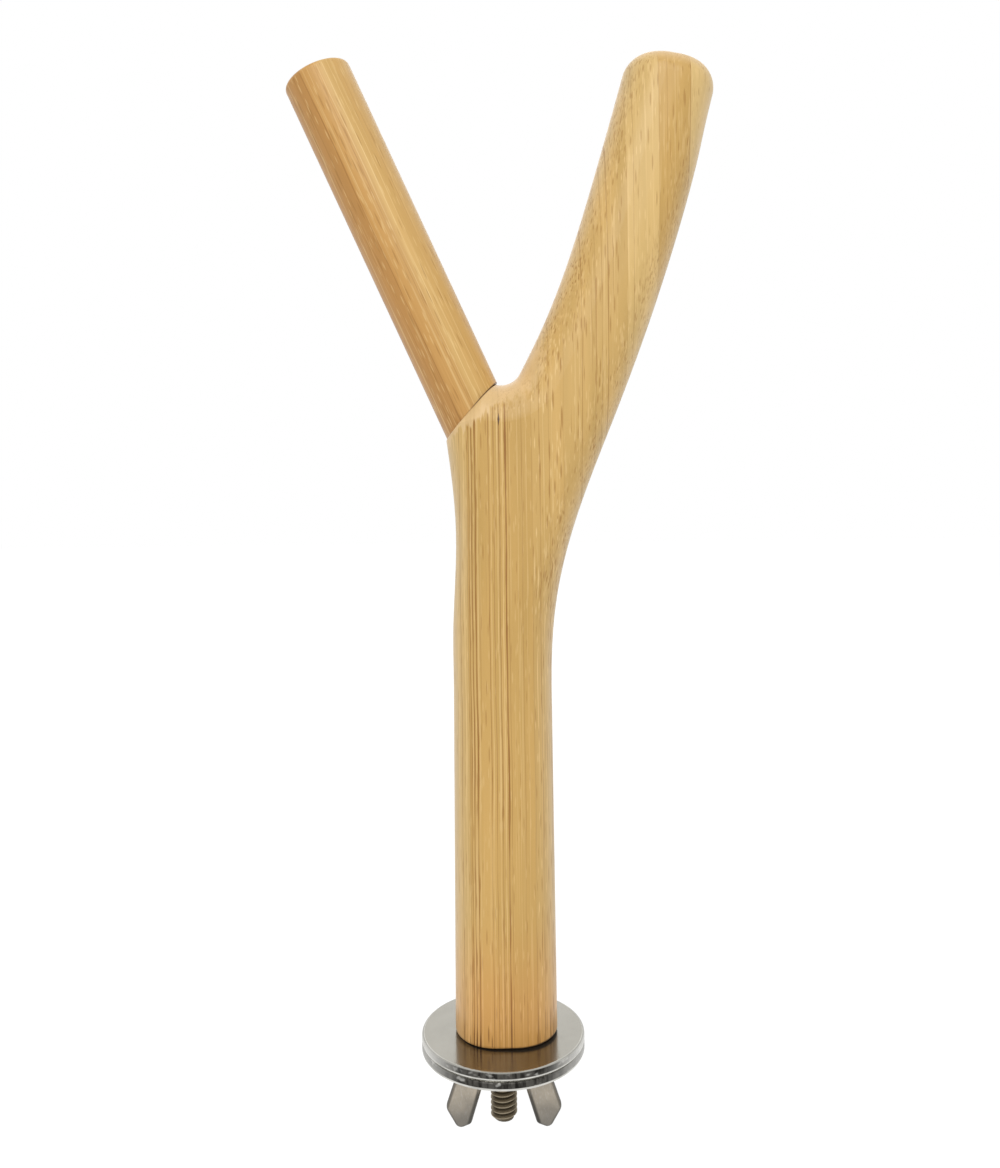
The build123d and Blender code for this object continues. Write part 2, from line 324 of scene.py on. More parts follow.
class PerchStud(bpy.types.PropertyGroup):
    """Sizes of the stud's two threads"""

    radius: FloatProperty(
        name="Crest radius", description="Radius over the machine thread's crests",
        unit="LENGTH", default=bolt_high.x - STUD_INSET,
    )
    machine_pitch: FloatProperty(
        name="Machine pitch", description="Rise of the machine thread in one turn",
        unit="LENGTH", default=1.27 * MM,
    )
    machine_depth: FloatProperty(
        name="Machine depth", description="Depth of the machine thread",
        unit="LENGTH", default=0.72 * MM,
    )
    wood_pitch: FloatProperty(
        name="Wood pitch", description="Rise of the wood thread in one turn",
        unit="LENGTH", default=2.54 * MM,
    )
    wood_depth: FloatProperty(
        name="Wood depth", description="Depth of the wood thread",
        unit="LENGTH", default=0.85 * MM,
    )
    steps: IntProperty(
        name="Steps", description="Steps in one turn of the thread", min=12, default=48,
    )


class PerchStage(bpy.types.PropertyGroup):
    """Camera, floor and light"""

    camera_distance: FloatProperty(
        name="Camera distance", description="From the lens to the plane of the fork",
        unit="LENGTH", default=245.0 * MM,
    )
    camera_height: FloatProperty(
        name="Camera height", description="Height of the lens above the washers",
        unit="LENGTH", default=128.4 * MM,
    )
    camera_side: FloatProperty(
        name="Camera side", description="How far the lens stands to the right of the stud",
        unit="LENGTH", default=0.66 * MM,
    )
    camera_roll: FloatProperty(
        name="Camera roll", description="How far the camera turns about its own axis",
        subtype="ANGLE", unit="ROTATION", default=0.0112,
    )
    focal_length: FloatProperty(
        name="Focal length", description="For a sensor 36 mm on its long side",
        subtype="DISTANCE_CAMERA", default=32.1,
    )
    shift: FloatProperty(
        name="Shift", description="Vertical shift of the frame", default=-0.0796,
    )
    ambient: FloatProperty(
        name="Ambient", description="Strength of the light from all round", min=0, default=0.72,
    )
    key_power: FloatProperty(
        name="Key power", description="Power of the large lamp above the camera",
        subtype="POWER", unit="POWER", min=0, default=9.0,
    )
    back_power: FloatProperty(
        name="Back power", description="Power of the large lamp behind the perch",
        subtype="POWER", unit="POWER", min=0, default=2.4,
    )
    floor_size: FloatProperty(
        name="Floor size", description="Side of the floor", unit="LENGTH", default=6.0,
    )


class Nodes:
    """Adds nodes to one tree, and sets or links their inputs."""

    def __init__(self, tree):
        self.tree = tree

    def put(self, socket, value):
        """Feeds a socket from another one, or sets its value."""
        if isinstance(value, bpy.types.NodeSocket):
            self.tree.links.new(value, socket)
        else:
            socket.default_value = value

    def add(self, kind, *values, **settings):
        """A node with its settings, and its first inputs in order."""
        node = self.tree.nodes.new("ShaderNode" + kind)
        for name, value in settings.items():
            setattr(node, name, value)
        for socket, value in zip(node.inputs, values):
            self.put(socket, value)
        return node

    def math(self, operation, *values):
        return self.add("Math", *values, operation=operation).outputs[0]

    def product(self, first, *others):
        for other in others:
            first = self.math("MULTIPLY", first, other)
        return first

    def vector(self, operation, *values):
        return self.add("VectorMath", *values, operation=operation).outputs[0]

    def rise(self, value, low, high):
        """0 below low, 1 above high, and smooth between them."""
        return self.add("MapRange", value, low, high, 0.0, 1.0, interpolation_type="SMOOTHSTEP").outputs[0]

    def fall(self, value, low, high):
        """1 below low, 0 above high, and smooth between them."""
        return self.add("MapRange", value, low, high, 1.0, 0.0, interpolation_type="SMOOTHSTEP").outputs[0]

    def between(self, value, low, high, first, last):
        """A value from low to high as one from first to last."""
        return self.add("MapRange", value, low, high, first, last).outputs[0]

    def mix(self, share, a, b, blend="MIX"):
        node = self.add("Mix", data_type="RGBA", blend_type=blend)
        for socket, value in ((node.inputs[0], share), (node.inputs[6], a), (node.inputs[7], b)):
            self.put(socket, value)
        return node.outputs[2]

    def noise(self, vector, scale, detail=2.0, roughness=0.5):
        """Noise whose size along each axis is set by scale, in cells to the metre."""
        node = self.add("TexNoise", self.vector("MULTIPLY", vector, scale))
        node.inputs["Scale"].default_value = 1.0
        node.inputs["Detail"].default_value = detail
        node.inputs["Roughness"].default_value = roughness
        return node.outputs[0]

    def cells(self, vector, scale):
        """Distance to the nearest of scattered points, whose spacing is set by scale."""
        node = self.add("TexVoronoi", self.vector("MULTIPLY", vector, scale))
        node.inputs["Scale"].default_value = 1.0
        return node.outputs[0]


def new_group(name, inputs, outputs):
    """A shader node group with its sockets, and the ends of its tree."""
    group = bpy.data.node_groups.new(name, "ShaderNodeTree")
    for label, kind in inputs:
        group.interface.new_socket(name=label, in_out="INPUT", socket_type=kind)
    for label, kind in outputs:
        group.interface.new_socket(name=label, in_out="OUTPUT", socket_type=kind)
    source = group.nodes.new("NodeGroupInput")
    sink = group.nodes.new("NodeGroupOutput")
    return group, Nodes(group), source.outputs, sink.inputs


def fibre_group():
    """Bamboo fibres along Z: long lines, short bundles, flecks, pale fibres, fine grain and broad tone.

    Flecks are fine fibres. They show as lines on a face that runs along them, and as short dashes on one
    that cuts across them.
    """
    found = bpy.data.node_groups.get("bamboo fibre")
    if found:
        return found
    labels = ("Lines", "Bundles", "Flecks", "Pale", "Fine", "Tone")
    group, n, given, made = new_group(
        "bamboo fibre",
        (("Vector", "NodeSocketVector"), ("Seed", "NodeSocketFloat"), ("Density", "NodeSocketFloat")),
        tuple((label, "NodeSocketFloat") for label in labels),
    )
    seed, density = given["Seed"], given["Density"]
    steps = (n.product(seed, share) for share in (0.31, 0.17, 0.53))
    place = n.vector("ADD", given["Vector"], n.add("CombineXYZ", *steps).outputs[0])
    sway = n.between(n.noise(place, (60, 60, 16), 1.0), 0.3, 0.7, -0.3 * MM, 0.3 * MM)
    place = n.vector("ADD", place, n.add("CombineXYZ", sway, sway, 0.0).outputs[0])
    threshold = n.between(density, 0.0, 1.0, 0.67, 0.54)
    above = n.math("SUBTRACT", n.noise(place, (2600, 1400, 10), 3.0, 0.6), threshold)
    cluster = n.rise(n.noise(n.vector("ADD", place, (0.9, 0.1, 0.5)), (330, 330, 9), 1.0), 0.4, 0.6)
    breaks = n.rise(n.noise(n.vector("ADD", place, (0.3, 0.8, 0.1)), (1100, 1100, 48), 1.0), 0.36, 0.54)
    lines = n.product(n.rise(above, 0.01, 0.08), n.between(cluster, 0.0, 1.0, 0.08, 1.0))
    n.put(made["Lines"], n.product(lines, n.between(breaks, 0.0, 1.0, 0.4, 1.0)))
    reach = n.between(density, 0.0, 1.0, 0.18, 0.46)
    inside = n.math("DIVIDE", n.cells(place, (1250, 1250, 110)), reach)
    n.put(made["Bundles"], n.fall(inside, 0.4, 1.0))
    fleck = n.noise(n.vector("ADD", place, (0.7, 0.3, 0.6)), (2900, 2900, 45), 1.0, 0.4)
    patch = n.rise(n.noise(n.vector("ADD", place, (0.1, 0.5, 0.4)), (150, 150, 60), 2.0), 0.42, 0.6)
    n.put(made["Flecks"], n.product(n.rise(fleck, 0.55, 0.68), n.between(patch, 0.0, 1.0, 0.15, 1.0)))
    pale_lines = n.noise(n.vector("ADD", place, (0.4, 0.7, 0.2)), (1900, 1100, 18), 2.0, 0.55)
    pale_dashes = n.cells(n.vector("ADD", place, (0.2, 0.6, 0.9)), (1500, 1500, 170))
    n.put(made["Pale"], n.math("MAXIMUM", n.rise(pale_lines, 0.56, 0.7), n.fall(pale_dashes, 0.12, 0.3)))
    n.put(made["Fine"], n.noise(place, (5200, 5200, 150), 2.0, 0.6))
    n.put(made["Tone"], n.between(n.noise(place, (210, 210, 10), 2.0), 0.3, 0.7, 0.0, 1.0))
    return group


def streak_group():
    """One long dark or pale streak along Z at a given x, which wavers and comes and goes."""
    found = bpy.data.node_groups.get("bamboo streak")
    if found:
        return found
    group, n, given, made = new_group(
        "bamboo streak",
        (("Vector", "NodeSocketVector"), ("Place", "NodeSocketFloat"), ("Half Width", "NodeSocketFloat")),
        (("Mask", "NodeSocketFloat"),),
    )
    along = n.vector("ADD", given["Vector"], n.add("CombineXYZ", 0.0, 0.0, given["Place"]).outputs[0])
    only_z = n.vector("MULTIPLY", along, (0.0, 0.0, 1.0))
    waver = n.between(n.noise(only_z, (0, 0, 22), 2.0), 0.3, 0.7, -0.22 * MM, 0.22 * MM)
    across = n.add("SeparateXYZ", given["Vector"]).outputs[0]
    off = n.math("ABSOLUTE", n.math("ADD", n.math("SUBTRACT", across, given["Place"]), waver))
    thick = n.between(n.noise(only_z, (0, 0, 60), 2.0), 0.35, 0.65, 0.35, 1.25)
    share = n.math("DIVIDE", off, n.math("MULTIPLY", given["Half Width"], thick))
    fade = n.between(n.noise(only_z, (0, 0, 34), 2.0), 0.36, 0.54, 0.5, 1.0)
    n.put(made["Mask"], n.product(n.fall(share, 0.25, 1.0), fade))
    return group


def place_group(n, group, *values):
    """A node group in a material, with its inputs in order."""
    node = n.add("Group", node_tree=group)
    for socket, value in zip(node.inputs, values):
        n.put(socket, value)
    return node.outputs


def new_material(name):
    """A material, a way to add its nodes, and its shader."""
    material = bpy.data.materials.new(name)
    material.use_nodes = True
    return material, Nodes(material.node_tree), material.node_tree.nodes["Principled BSDF"]


def emboss(n, shader, height, strength, distance):
    """Raises a finish's grain and scratches a little."""
    bump = n.add("Bump")
    n.put(bump.inputs["Height"], height)
    bump.inputs["Strength"].default_value = strength
    bump.inputs["Distance"].default_value = distance
    n.put(shader.inputs["Normal"], bump.outputs[0])


def from_axis(n, x, y):
    """How far a place lies from the stud's axis."""
    flat = n.add("CombineXYZ", x, y, 0.0).outputs[0]
    return n.add("VectorMath", flat, operation="LENGTH").outputs["Value"]


def finish_bamboo(n, shader, looks, colour, fibre, dark):
    """Grain depth, roughness and the thin oil coat that all the bamboo has."""
    n.put(shader.inputs["Base Color"], colour)
    ups = n.math("MULTIPLY", fibre["Fine"], 0.5)
    height = n.math("SUBTRACT", ups, n.math("MULTIPLY", dark, 0.6))
    emboss(n, shader, height, 0.5, looks.grain_depth)
    spread = n.between(fibre["Fine"], 0.25, 0.75, looks.roughness - 0.05, looks.roughness + 0.08)
    n.put(shader.inputs["Roughness"], n.math("ADD", spread, n.math("MULTIPLY", dark, 0.12)))
    shader.inputs["Specular IOR Level"].default_value = 0.4
    shader.inputs["Coat Weight"].default_value = 0.2
    shader.inputs["Coat Roughness"].default_value = 0.25


def paint_fibres(n, looks, colour, fibre, dense, pale, flecks, sawn):
    """Fibres over a piece's own colour, and how dark they are.

    They are fainter where they are sawn across.
    """
    shade = n.between(fibre["Tone"], 0.0, 1.0, 0.9, 1.06)
    tint = n.add("CombineColor", shade, shade, n.math("POWER", shade, 1.4)).outputs[0]
    colour = n.mix(1.0, colour, tint, "MULTIPLY")
    pale_share = n.product(fibre["Pale"], pale, n.between(sawn, 0.0, 1.0, 0.9, 0.4))
    colour = n.mix(pale_share, colour, rgba(looks.sheath))
    lines = n.product(fibre["Lines"], n.between(dense, 0.0, 1.0, 0.45, 1.0))
    bundles = n.product(fibre["Bundles"], n.between(dense, 0.0, 1.0, 0.35, 0.9))
    dark = n.product(n.math("MAXIMUM", lines, bundles), n.between(sawn, 0.0, 1.0, 0.85, 0.12))
    dark = n.math("MAXIMUM", dark, n.product(fibre["Flecks"], flecks))
    return n.mix(dark, colour, rgba(looks.fibre)), dark


def paint_streaks(n, looks, place, colour, dark, streaks, pale_streaks, sawn):
    """Single long streaks at chosen places, and how dark the wood is with them."""
    shown = n.between(sawn, 0.0, 1.0, 1.0, 0.05)
    for where, half, strength in pale_streaks:
        mask = place_group(n, streak_group(), place, where * MM, half * MM)[0]
        colour = n.mix(n.product(mask, strength, shown), colour, rgba(looks.sheath))
    for where, half, strength in streaks:
        mask = place_group(n, streak_group(), place, where * MM, half * MM)[0]
        mask = n.product(mask, strength, shown)
        colour = n.mix(mask, colour, rgba(blend_tone(looks.fibre, looks.glue, 0.5)))
        dark = n.math("MAXIMUM", dark, mask)
    return colour, dark


def along_way(n, place, origin, way):
    """How far a place lies from an origin in one direction."""
    from_origin = n.vector("SUBTRACT", place, tuple(origin))
    return n.add("VectorMath", from_origin, tuple(way), operation="DOT_PRODUCT").outputs["Value"]


def sawn_group():
    """Where the fork's surface cuts across the fibres.

    That is under the mitre, round the crotch and at the arm's tip.
    """
    found = bpy.data.node_groups.get("sawn across")
    if found:
        return found
    group, n, given, made = new_group(
        "sawn across", (("Vector", "NodeSocketVector"),), (("Mask", "NodeSocketFloat"),)
    )
    place = given["Vector"]
    jagged = n.between(n.noise(place, (1500, 700, 40), 2.0), 0.3, 0.7, -1.3 * MM, 1.3 * MM)
    depth = n.math("SUBTRACT", jagged, along_way(n, place, DOWEL_FOOT, MITRE_NORMAL))
    along = along_way(n, place, DOWEL_FOOT, MITRE_WAY)
    wide = n.between(along, -8 * MM, 7 * MM, 1.0 * MM, 5.6 * MM)
    within = n.fall(n.math("DIVIDE", depth, wide), 0.7, 1.05)
    under_mitre = n.product(within, n.fall(along, 9 * MM, 13 * MM))
    flat = n.vector("MULTIPLY", n.vector("SUBTRACT", place, tuple(CROTCH)), (1.0, 0.0, 1.0))
    out = n.math("ADD", n.add("VectorMath", flat, operation="LENGTH").outputs["Value"], jagged)
    round_crotch = n.fall(out, 8 * MM, 11.5 * MM)
    under_tip = n.rise(along_way(n, place, ARM_TIP, ARM_TIP_NORMAL), -4.5 * MM, -1 * MM)
    n.put(made["Mask"], n.math("MAXIMUM", n.math("MAXIMUM", under_mitre, round_crotch), under_tip))
    return group


def paint_joint_gap(n, looks, place, colour):
    """The thin open line along the upper part of the mitre under the dowel, painted dark as shade in the
    open joint.
    """
    off = n.math("ABSOLUTE", along_way(n, place, DOWEL_FOOT, MITRE_NORMAL))
    along = along_way(n, place, DOWEL_FOOT, MITRE_WAY)
    width = n.between(along, -9 * MM, 6 * MM, 0.08 * MM, 0.24 * MM)
    line = n.fall(n.math("DIVIDE", off, width), 0.5, 1.0)
    open_part = n.product(n.rise(along, -2 * MM, 3 * MM), n.fall(along, 8 * MM, 10 * MM))
    # Painted shade along the joint, darkest along its open upper part
    return n.mix(n.product(line, n.between(open_part, 0.0, 1.0, 0.2, 0.85)), colour, rgba(looks.gap))


def paint_split(n, looks, place, colour):
    """The short split in the front of the middle seam, below the mitre, painted dark as shade in the split.
    """
    x, y, z = n.add("SeparateXYZ", place).outputs
    up = n.math("ABSOLUTE", n.math("SUBTRACT", z, SPLIT_Z))
    aside = n.math("ABSOLUTE", n.math("SUBTRACT", x, seam_low.x))
    open_width = n.between(up, 0.0, SPLIT_HALF, 0.3 * MM, 0.01 * MM)
    split = n.product(
        n.fall(n.math("DIVIDE", aside, open_width), 0.6, 1.0),
        n.fall(up, SPLIT_HALF - 0.1 * MM, SPLIT_HALF),
        n.math("LESS_THAN", y, 0.0),
    )
    # Painted shade inside the split
    return n.mix(split, colour, rgba(looks.gap))


def paint_foot(n, looks, place, colour, dark):
    """The foot of the post, painted redder and darker as shade near the washers, with its fibres darker
    towards the foot, and a painted contact shadow along its lower rim, widest on the right.
    """
    x, _, z = n.add("SeparateXYZ", place).outputs
    # Painted shade: the post is painted redder and darker towards its foot
    foot_shade = n.product(n.fall(z, 4 * MM, 36 * MM), 0.5)
    colour = n.mix(foot_shade, colour, rgba(FOOT_SHADE), "MULTIPLY")
    deeper = n.product(dark, n.fall(z, 3 * MM, 15 * MM), 0.75)
    colour = n.mix(deeper, colour, rgba(looks.gap))
    # Painted shadow: the lowest part of the foot is painted dark as its contact shadow on the washer,
    # widest on the right
    up = n.math("SUBTRACT", z, washer_high.z)
    rim = n.fall(n.math("DIVIDE", up, n.between(x, -10 * MM, 12 * MM, 0.2 * MM, 1.0 * MM)), 0.55, 1.0)
    return n.mix(n.product(rim, 0.9), colour, rgba(looks.rim))


def strip_material(looks, number, recipe):
    """The bamboo of one strip, with its own tone, fibres, streaks and glue lines."""
    material, n, shader = new_material(f"laminated bamboo {number}")
    place = n.add("TexCoord").outputs["Object"]
    x, y, _ = n.add("SeparateXYZ", place).outputs
    left = FIRST_SEAM_X + (number - 1) * STRIP_WIDTH
    dense = n.between(x, left, left + STRIP_WIDTH, *recipe["dense"])
    fibre = place_group(n, fibre_group(), place, float(number), dense)
    sawn = place_group(n, sawn_group(), place)[0]
    y_off = n.math("ABSOLUTE", y)
    own = rgba(blend_tone(looks.honey, looks.straw, recipe["light"]))
    # Painted sheen: the rounded sides, away from the fork's middle plane, are painted paler
    colour = n.mix(n.product(n.fall(y_off, 3.5 * MM, 8.6 * MM), 0.6), own, rgba(looks.painted_sheen))
    colour = n.mix(n.product(sawn, 0.75), colour, rgba(looks.sawn))
    flecks = n.product(n.fall(y_off, 8.0 * MM, 9.8 * MM), recipe["flecks"], 0.75)
    colour, dark = paint_fibres(n, looks, colour, fibre, dense, recipe["pale"], flecks, sawn)
    colour, dark = paint_streaks(n, looks, place, colour, dark, recipe["dark"], recipe["bright"], sawn)
    left_glue = STRIPS[number - 2]["glue"] if number > 1 else 0.0
    shown = n.between(sawn, 0.0, 1.0, 1.0, 0.25)
    for seam, strength in ((left, left_glue), (left + STRIP_WIDTH, recipe["glue"])):
        mask = place_group(n, streak_group(), place, seam, GLUE_HALF)[0]
        colour = n.mix(n.product(mask, strength, shown), colour, rgba(looks.glue))
    colour = paint_foot(n, looks, place, colour, dark)
    if number in MITRE_STRIPS:
        colour = paint_joint_gap(n, looks, place, colour)
    if number in SPLIT_STRIPS:
        colour = paint_split(n, looks, place, colour)
    finish_bamboo(n, shader, looks, colour, fibre, dark)
    return material


def dowel_material(looks):
    """The bamboo of the dowel, with its fibres along its own axis."""
    material, n, shader = new_material("bamboo dowel")
    place = n.add("TexCoord").outputs["Object"]
    turn = Euler((0.0, DOWEL_LEAN, 0.0)).to_matrix()
    mapping = n.add("Mapping", place)
    mapping.inputs["Rotation"].default_value = (0.0, DOWEL_LEAN, 0.0)
    mapping.inputs["Location"].default_value = -(turn @ DOWEL_FOOT)
    own_place = mapping.outputs[0]
    x, _, z = n.add("SeparateXYZ", own_place).outputs
    first, last = DOWEL_BANDS[0][0], DOWEL_BANDS[-1][0]
    bands = n.add("ValToRGB", n.between(x, first * MM, last * MM, 0.0, 1.0))
    stops = bands.color_ramp.elements
    for where, _ in DOWEL_BANDS[1:-1]:
        stops.new((where - first) / (last - first))
    for stop, (_, colour) in zip(stops, DOWEL_BANDS):
        stop.color = rgba(colour)
    dense = n.between(x, -8 * MM, 8 * MM, 0.7, 0.3)
    fibre = place_group(n, fibre_group(), own_place, DOWEL_SEED, dense)
    sawn = n.rise(z, DOWEL_END - DOWEL_END_ROUND, DOWEL_END)
    flecks = n.between(sawn, 0.0, 1.0, 0.15, 0.7)
    colour, dark = paint_fibres(n, looks, bands.outputs[0], fibre, dense, 0.5, flecks, sawn)
    colour, dark = paint_streaks(n, looks, own_place, colour, dark, DOWEL_DARK, DOWEL_BRIGHT, sawn)
    colour = paint_joint_gap(n, looks, place, colour)
    finish_bamboo(n, shader, looks, colour, fibre, dark)
    return material


def wear_group():
    """Fine scratches in two directions, and slow blotches, on polished or tumbled steel."""
    found = bpy.data.node_groups.get("steel wear")
    if found:
        return found
    group, n, given, made = new_group(
        "steel wear",
        (("Vector", "NodeSocketVector"),),
        tuple((label, "NodeSocketFloat") for label in ("Scratches", "Blotches", "Grain")),
    )
    turned = n.add("Mapping", given["Vector"])
    turned.inputs["Rotation"].default_value = (0.3, 0.5, 0.9)
    first = n.rise(n.noise(given["Vector"], (4200, 160, 900), 2.0), 0.56, 0.7)
    second = n.rise(n.noise(turned.outputs[0], (140, 4600, 900), 2.0), 0.58, 0.72)
    n.put(made["Scratches"], n.math("MAXIMUM", first, second))
    slow = n.noise(given["Vector"], (190, 190, 190), 3.0, 0.6)
    n.put(made["Blotches"], n.between(slow, 0.3, 0.7, 0.0, 1.0))
    n.put(made["Grain"], n.noise(given["Vector"], (2600, 2600, 2600), 3.0, 0.6))
    return group


def washer_material(looks):
    """Polished faces, and a rounded rim painted with bright highlights above and below and with a dark
    painted reflection along its middle.

    The dark part is painted lighter at the rim's left and right sides, as a painted reflection.
    """
    material, n, shader = new_material("washer steel")
    place = n.add("TexCoord").outputs["Object"]
    x, y, z = n.add("SeparateXYZ", place).outputs
    wear = place_group(n, wear_group(), place)
    out = n.math("SUBTRACT", washer_high.x, from_axis(n, x, y))
    up = n.product(n.math("FRACT", n.math("DIVIDE", z, washer_high.z)), washer_high.z)
    # Painted reflection: the rim's middle is painted dark in place of a dark reflection, and is also
    # rougher and marked
    below_top = n.fall(z, washer_high.z - 0.28 * MM, washer_high.z - 0.12 * MM)
    wall = n.product(n.rise(up, 0.6 * MM, 0.75 * MM), below_top)
    edge = n.product(wall, n.fall(out, 0.28 * MM, 0.42 * MM))
    # Painted highlight: the bevels are painted bright, more so lower down, and unevenly with the wear
    # blotches
    highlight_fade = n.between(z, 0.4 * MM, 1.4 * MM, 0.95, 0.45)
    uneven = n.between(wear["Blotches"], 0.2, 0.9, 1.0, 0.55)
    bevel = n.product(n.fall(out, 0.45 * MM, 0.65 * MM), highlight_fade, uneven)
    marks = n.noise(place, (900, 900, 260), 2.0, 0.55)
    patches = n.rise(n.noise(place, (330, 330, 500), 2.0, 0.55), 0.56, 0.68)
    bare = rgba(looks.washer)
    dull = rgba(blend_tone(looks.washer, FACE_DULL, 0.35))
    colour = n.mix(n.product(wear["Blotches"], 0.4), bare, dull)
    colour = n.mix(bevel, colour, rgba(looks.bevel))
    # The wall's painted dark reflection, with lighter marks through it and bright painted highlight patches
    side = n.mix(n.rise(marks, 0.34, 0.66), rgba(RIM_DARK_REFLECTION), rgba(RIM_DIM_REFLECTION))
    side = n.mix(n.product(patches, 0.4), side, rgba(looks.bevel))
    # Painted reflection: the wall is painted lighter towards its left and right sides
    side_reflection = n.product(
        n.rise(n.math("ABSOLUTE", x), 8 * MM, 18.5 * MM),
        n.between(z, -0.4 * MM, 0.4 * MM, 0.5, 0.8),
    )
    side = n.mix(side_reflection, side, rgba(looks.bevel))
    n.put(shader.inputs["Base Color"], n.mix(edge, colour, side))
    shader.inputs["Metallic"].default_value = 0.95
    low, high = looks.washer_roughness - 0.03, looks.washer_roughness + 0.05
    polish = n.between(wear["Blotches"], 0.0, 1.0, low, high)
    polish = n.math("ADD", polish, n.product(wear["Scratches"], 0.07))
    n.put(shader.inputs["Roughness"], n.math("ADD", polish, n.product(edge, 0.2)))
    height = n.math("ADD", n.product(edge, marks), n.product(wear["Scratches"], -0.05))
    emboss(n, shader, height, 0.5, 0.06 * MM)
    return material


def inside_outline(n, place, points):
    """How far a place in the fork's plane lies inside the nearest of an outline's straight edges."""
    nearest = None
    for (x0, z0), (x1, z1) in zip(points, points[1:]):
        inward = Vector((z0 - z1, 0.0, x1 - x0)).normalized()
        distance = along_way(n, place, Vector((x0, 0.0, z0)) * MM, inward)
        nearest = distance if nearest is None else n.math("MINIMUM", nearest, distance)
    return nearest


def nut_material(looks):
    """Tumbled steel with a soft grain, darker towards the tips of the wings, and with painted shade along
    their edges.
    """
    material, n, shader = new_material("wing nut steel")
    place = n.add("TexCoord").outputs["Object"]
    wear = place_group(n, wear_group(), place)
    dull = blend_tone(looks.nut, NUT_DULL, 0.65)
    colour = n.mix(wear["Blotches"], rgba(looks.nut), rgba(dull))
    colour = n.mix(n.product(wear["Scratches"], 0.3), colour, rgba(NUT_SCRATCH))
    x, y, z = n.add("SeparateXYZ", place).outputs
    aside = n.math("ABSOLUTE", x)
    right_wing = n.add("CombineXYZ", aside, y, z).outputs[0]
    # Painted shade: the wings' inner and outer edges and their middle plane are painted dark, patchily
    inner = n.fall(inside_outline(n, right_wing, WING_INNER), 0.7 * MM, 1.3 * MM)
    outer = n.product(n.fall(inside_outline(n, right_wing, WING_OUTER), 0.3 * MM, 0.8 * MM), 0.7)
    middle = n.fall(n.math("ABSOLUTE", y), 0.6 * MM, 1.0 * MM)
    rim = n.math("MAXIMUM", n.math("MAXIMUM", inner, outer), middle)
    rim = n.product(rim, n.rise(aside, 5.2 * MM, 6.4 * MM), n.between(wear["Blotches"], 0.0, 1.0, 1.0, 0.7))
    tips = n.fall(z, WING_TIP_Z, WING_DARK_Z)
    colour = n.mix(n.product(tips, 0.72), colour, rgba(NUT_TIP))
    colour = n.mix(rim, colour, rgba(NUT_EDGE_SHADE))
    n.put(shader.inputs["Base Color"], colour)
    shader.inputs["Metallic"].default_value = 1.0
    n.put(shader.inputs["Roughness"], n.between(wear["Grain"], 0.3, 0.7, 0.28, 0.44))
    emboss(n, shader, wear["Grain"], 0.2, 0.08 * MM)
    return material


def stud_material(looks, radius, depth):
    """Dull steel with oil and shade in the grooves."""
    material, n, shader = new_material("stud steel")
    place = n.add("TexCoord").outputs["Object"]
    x, y, _ = n.add("SeparateXYZ", place).outputs
    wear = place_group(n, wear_group(), place)
    crest = n.rise(from_axis(n, x, y), radius - depth * 0.9, radius - depth * 0.1)
    colour = n.mix(crest, rgba(looks.stud_root), rgba(looks.stud))
    dull = rgba(blend_tone(looks.stud_root, looks.stud, 0.3))
    colour = n.mix(n.product(wear["Blotches"], 0.35), colour, dull)
    n.put(shader.inputs["Base Color"], colour)
    shader.inputs["Metallic"].default_value = 1.0
    n.put(shader.inputs["Roughness"], n.between(wear["Grain"], 0.3, 0.7, 0.42, 0.6))
    emboss(n, shader, wear["Grain"], 0.25, 0.05 * MM)
    return material


def dress(node, material):
    """Puts a material on the slots of a CAD node's object."""
    for slot in frame["nodes"][node].material_slots:
        slot.link = "OBJECT"
        slot.material = material


def new_piece(name, bm, material, body):
    """A finished mesh as a piece that rides on a body."""
    mesh = bpy.data.meshes.new(name)
    bm.to_mesh(mesh)
    bm.free()
    mesh.materials.append(material)
    piece = bpy.data.objects.new(name, mesh)
    bpy.context.scene.collection.objects.link(piece)
    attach(piece, body)
    return piece


def wind_thread(bm, radius, depth, pitch, low, high, steps):
    """Winds one groove's outline up the Z axis, and cuts the thread square at both ends."""
    turns = math.ceil((high - low) / pitch) + 2
    root = radius - depth
    outline = ((root, 0.0), (root, 0.14), (radius, 0.46), (radius, 0.62), (root, 1.0))
    verts = [bm.verts.new((r, 0.0, low + (share - 1.0) * pitch)) for r, share in outline]
    edges = [bm.edges.new(pair) for pair in zip(verts, verts[1:])]
    bmesh.ops.spin(
        bm, geom=verts + edges, cent=(0, 0, 0), axis=(0, 0, 1), dvec=(0, 0, pitch / steps),
        angle=2 * math.pi * turns, steps=turns * steps, use_merge=False, use_duplicate=False,
    )
    bmesh.ops.remove_doubles(bm, verts=bm.verts[:], dist=1e-7)
    for level, way in ((low, -1), (high, 1)):
        bmesh.ops.bisect_plane(
            bm, geom=bm.verts[:] + bm.edges[:] + bm.faces[:], dist=1e-8,
            plane_co=(0, 0, level), plane_no=(0, 0, way), clear_outer=True,
        )


def open_loop(bm, level):
    """The edges of the open end of a thread at a level."""
    return [e for e in bm.edges if e.is_boundary and all(abs(v.co.z - level) < 1e-6 for v in e.verts)]


def draw_in(bm, loop, radius, level):
    """Carries an open end on to a circle at another level, and returns the new end's edges."""
    made = bmesh.ops.extrude_edge_only(bm, edges=loop)["geom"]
    for vert in (g for g in made if isinstance(g, bmesh.types.BMVert)):
        scale = radius / vert.co.xy.length
        vert.co = (vert.co.x * scale, vert.co.y * scale, level)
    return [g for g in made if isinstance(g, bmesh.types.BMEdge) and g.is_boundary]


